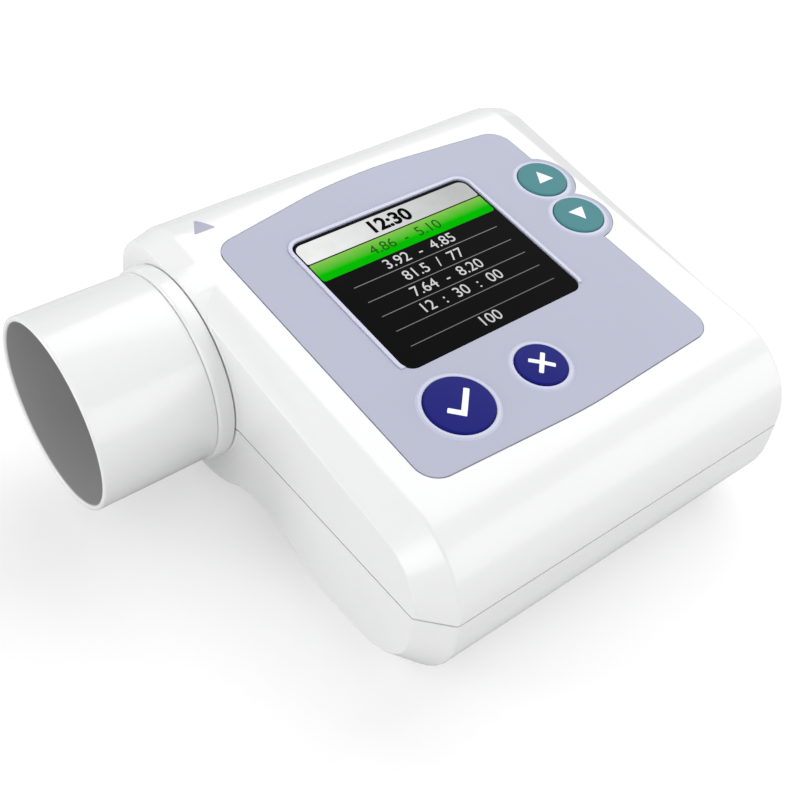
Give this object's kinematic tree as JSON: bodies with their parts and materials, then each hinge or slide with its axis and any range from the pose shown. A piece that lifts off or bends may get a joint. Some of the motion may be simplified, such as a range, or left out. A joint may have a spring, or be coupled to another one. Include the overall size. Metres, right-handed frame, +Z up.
{
  "type": "handheld spirometer",
  "caption": "Wedge-shaped handheld spirometer: sloping keypad and display deck, round airway across the rear with a turbine cartridge and a mouthpiece tube.",
  "frame": {"origin": "middle of the underside's plane, below the middle of the whole part's box", "axes": "+Z up out of the rest plane, +Y from the low front to the airway at the rear, +X from the mouthpiece side to the outlet side"},
  "size_m": [0.115, 0.095, 0.0449],
  "materials": {
    "casing": "glossy white moulded casing",
    "overlay": "satin grey-lilac keypad overlay",
    "window": "clear display window",
    "display": "display module",
    "blue_key": "blue key cap",
    "teal_key": "blue-green key cap",
    "steel": "plain steel",
    "board": "green laminate board",
    "chip": "black moulded package",
    "cell": "foil-wrapped cell",
    "tube": "glossy white tube",
    "clear": "clear moulded stator",
    "seal": "black seal",
    "jewel": "synthetic jewel cup",
    "vane": "dark vane"
  },
  "bodies": {
    "casing": {"top_shell": "casing", "bottom_shell": "casing", "keypad_overlay": "overlay", "display_window": "window", "display_module": "display", "snap_domes": "steel", "main_board": "board", "board_screws": "steel", "case_screws": "steel", "board_chips": "chip", "battery": "cell", "battery_plug": "display", "buzzer": "chip", "charging_port": "steel", "light_sender": "chip", "light_receiver": "chip"},
    "confirm_button": {"confirm_button": "blue_key"},
    "cancel_button": {"cancel_button": "blue_key"},
    "up_button": {"up_button": "teal_key"},
    "down_button": {"down_button": "teal_key"},
    "cartridge": {"turbine_cartridge": "tube", "seal_ring": "seal", "front_stator": "clear", "rear_stator": "clear", "rotor_bearings": "jewel"},
    "mouthpiece": {"mouthpiece_tube": "tube"},
    "rotor": {"rotor": "vane"}
  },
  "joints": [
    {"name": "confirm_button_press", "type": "slide", "parent": "casing", "child": "confirm_button", "axis": [0, 0.0958, -0.9954], "range_m": [0, 0.0006], "stiffness_N_per_m": 500},
    {"name": "cancel_button_press", "type": "slide", "parent": "casing", "child": "cancel_button", "axis": [0, 0.0958, -0.9954], "range_m": [0, 0.0006], "stiffness_N_per_m": 500},
    {"name": "up_button_press", "type": "slide", "parent": "casing", "child": "up_button", "axis": [0, 0.0958, -0.9954], "range_m": [0, 0.0006], "stiffness_N_per_m": 500},
    {"name": "down_button_press", "type": "slide", "parent": "casing", "child": "down_button", "axis": [0, 0.0958, -0.9954], "range_m": [0, 0.0006], "stiffness_N_per_m": 500},
    {"name": "cartridge_turn", "type": "hinge", "parent": "casing", "child": "cartridge", "pos_m": [0.013, 0.0265, 0.0244], "axis": [1, 0, 0], "range_deg": [-40, 0]},
    {"name": "mouthpiece_pull", "type": "slide", "parent": "cartridge", "child": "mouthpiece", "axis": [-1, 0, 0], "range_m": [0, 0.03]},
    {"name": "rotor_spin", "type": "hinge", "parent": "cartridge", "child": "rotor", "pos_m": [0.013, 0.0265, 0.0244], "axis": [1, 0, 0], "continuous": true}
  ]
}
